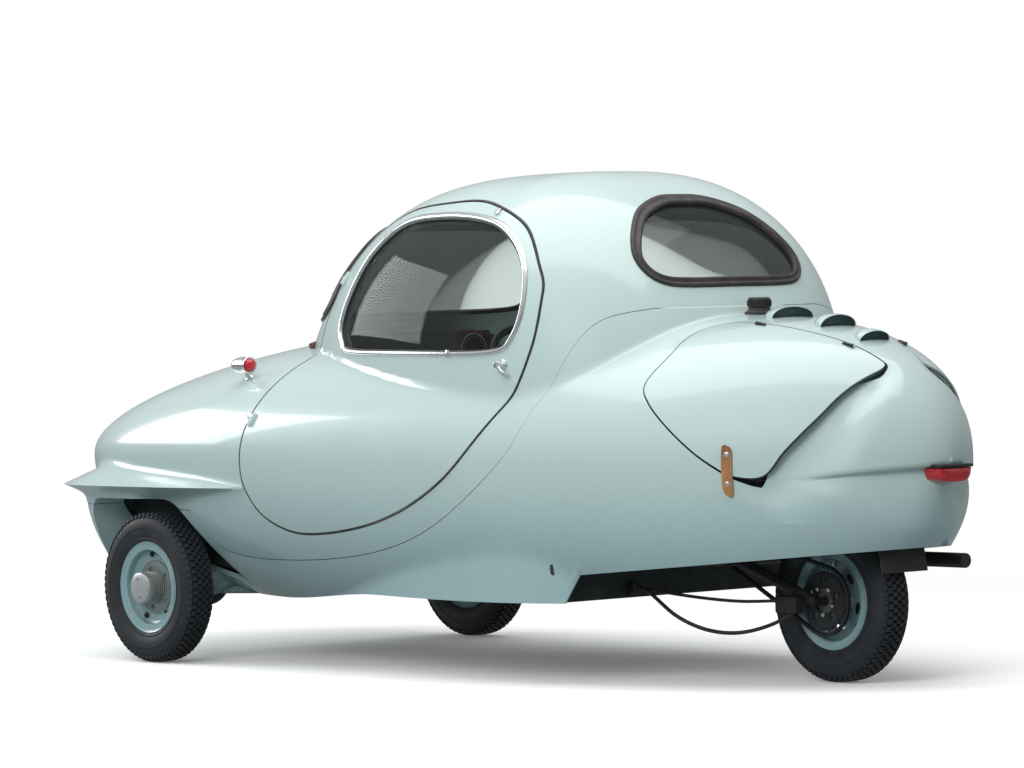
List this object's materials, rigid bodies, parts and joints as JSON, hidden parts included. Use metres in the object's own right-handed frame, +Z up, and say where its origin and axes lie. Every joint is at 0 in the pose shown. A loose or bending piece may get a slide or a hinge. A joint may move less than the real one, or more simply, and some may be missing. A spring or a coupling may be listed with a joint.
{
  "type": "three wheeled cabin car",
  "caption": "Small closed car with a rounded plastic pod body, two steered wheels in front and a driven wheel behind, with side doors and engine hatches.",
  "frame": {"origin": "on the ground below the middle of the car's overall box", "axes": "+X to the nose, +Y to the car's left, +Z up"},
  "size_m": [2.99, 1.27, 1.25],
  "materials": {
    "paint": "gloss",
    "glass": "clear",
    "bright": "polished",
    "chrome": "polished",
    "rubber": "matt",
    "tyre": "matt",
    "wheel": "gloss",
    "alloy": "cast",
    "dark_metal": "painted black, dusty",
    "leather": "worn",
    "trim": "matt",
    "seat": "soft",
    "floor": "rough laminate",
    "black": "satin",
    "red": "clear red",
    "lens": "clear"
  },
  "bodies": {
    "body": {"body_upper": "paint", "body_lower": "paint", "floor_pan": "floor", "wheel_well_left": "floor", "wheel_well_right": "floor", "dashboard": "trim", "seat_box": "dark_metal", "seat_cushion": "seat", "seat_back": "seat", "steering_column": "dark_metal", "hand_lever": "black", "rear_window_glass": "glass", "rear_window_gasket": "rubber", "windscreen_glass": "glass", "windscreen_gasket": "rubber", "front_beam": "dark_metal", "swing_arm": "dark_metal", "rear_frame": "dark_metal", "engine": "alloy", "chain": "dark_metal", "exhaust": "dark_metal", "mudflap": "rubber", "headlamp_ring": "chrome", "headlamp_lens": "lens", "indicator_left": "chrome", "indicator_right": "chrome", "tail_lamp": "red", "tail_lamp_bracket": "black", "filler_cap": "black"},
    "steering_wheel": {"steering_wheel": "black"},
    "wheel_rear": {"rear_tyre": "tyre", "rear_rim": "wheel", "rear_hub": "dark_metal"},
    "door_left": {"door_left_panel": "paint", "door_left_glass": "glass", "door_left_window_trim": "bright", "door_left_handle": "chrome"},
    "hatch_left": {"hatch_left_panel": "paint", "hatch_left_strap": "leather"},
    "knuckle_left": {"knuckle_left": "dark_metal"},
    "wheel_front_left": {"front_left_tyre": "tyre", "front_left_rim": "wheel", "front_left_hub": "alloy"},
    "door_right": {"door_right_panel": "paint", "door_right_glass": "glass", "door_right_window_trim": "bright", "door_right_handle": "chrome"},
    "hatch_right": {"hatch_right_panel": "paint", "hatch_right_strap": "leather"},
    "knuckle_right": {"knuckle_right": "dark_metal"},
    "wheel_front_right": {"front_right_tyre": "tyre", "front_right_rim": "wheel", "front_right_hub": "alloy"}
  },
  "joints": [
    {"name": "door_left", "type": "hinge", "parent": "body", "child": "door_left", "pos_m": [0.44765, 0.5489, 0.64036], "axis": [0.3173, 0.4484, -0.8356], "range_deg": [0, 60]},
    {"name": "hatch_left", "type": "hinge", "parent": "body", "child": "hatch_left", "pos_m": [-0.98651, 0.13756, 0.86306], "axis": [0.963, 0.1793, 0.2012], "range_deg": [0, 70]},
    {"name": "steer_left", "type": "hinge", "parent": "body", "child": "knuckle_left", "pos_m": [0.9, 0.5, 0.198], "axis": [0, 0, 1], "range_deg": [-20, 20]},
    {"name": "wheel_front_left_spin", "type": "hinge", "parent": "knuckle_left", "child": "wheel_front_left", "pos_m": [0.9, 0.545, 0.198], "axis": [0, 1, 0], "continuous": true},
    {"name": "door_right", "type": "hinge", "parent": "body", "child": "door_right", "pos_m": [0.44765, -0.5489, 0.64036], "axis": [-0.3173, 0.4484, 0.8356], "range_deg": [0, 60]},
    {"name": "hatch_right", "type": "hinge", "parent": "body", "child": "hatch_right", "pos_m": [-0.98651, -0.13756, 0.86306], "axis": [-0.963, 0.1793, -0.2012], "range_deg": [0, 70]},
    {"name": "steer_right", "type": "hinge", "parent": "body", "child": "knuckle_right", "pos_m": [0.9, -0.5, 0.198], "axis": [0, 0, 1], "range_deg": [-20, 20]},
    {"name": "wheel_front_right_spin", "type": "hinge", "parent": "knuckle_right", "child": "wheel_front_right", "pos_m": [0.9, -0.545, 0.198], "axis": [0, 1, 0], "continuous": true},
    {"name": "wheel_rear_spin", "type": "hinge", "parent": "body", "child": "wheel_rear", "pos_m": [-1.1, 0, 0.198], "axis": [0, 1, 0], "continuous": true},
    {"name": "steering_wheel_turn", "type": "hinge", "parent": "body", "child": "steering_wheel", "pos_m": [0.18, -0.22, 0.74], "axis": [-0.6798, 0, 0.7334], "range_deg": [-180, 180]}
  ],
  "couplings": [
    {"joint": "steer_right", "follows": "steer_left", "ratio": 1},
    {"joint": "steering_wheel_turn", "follows": "steer_left", "ratio": 9}
  ]
}
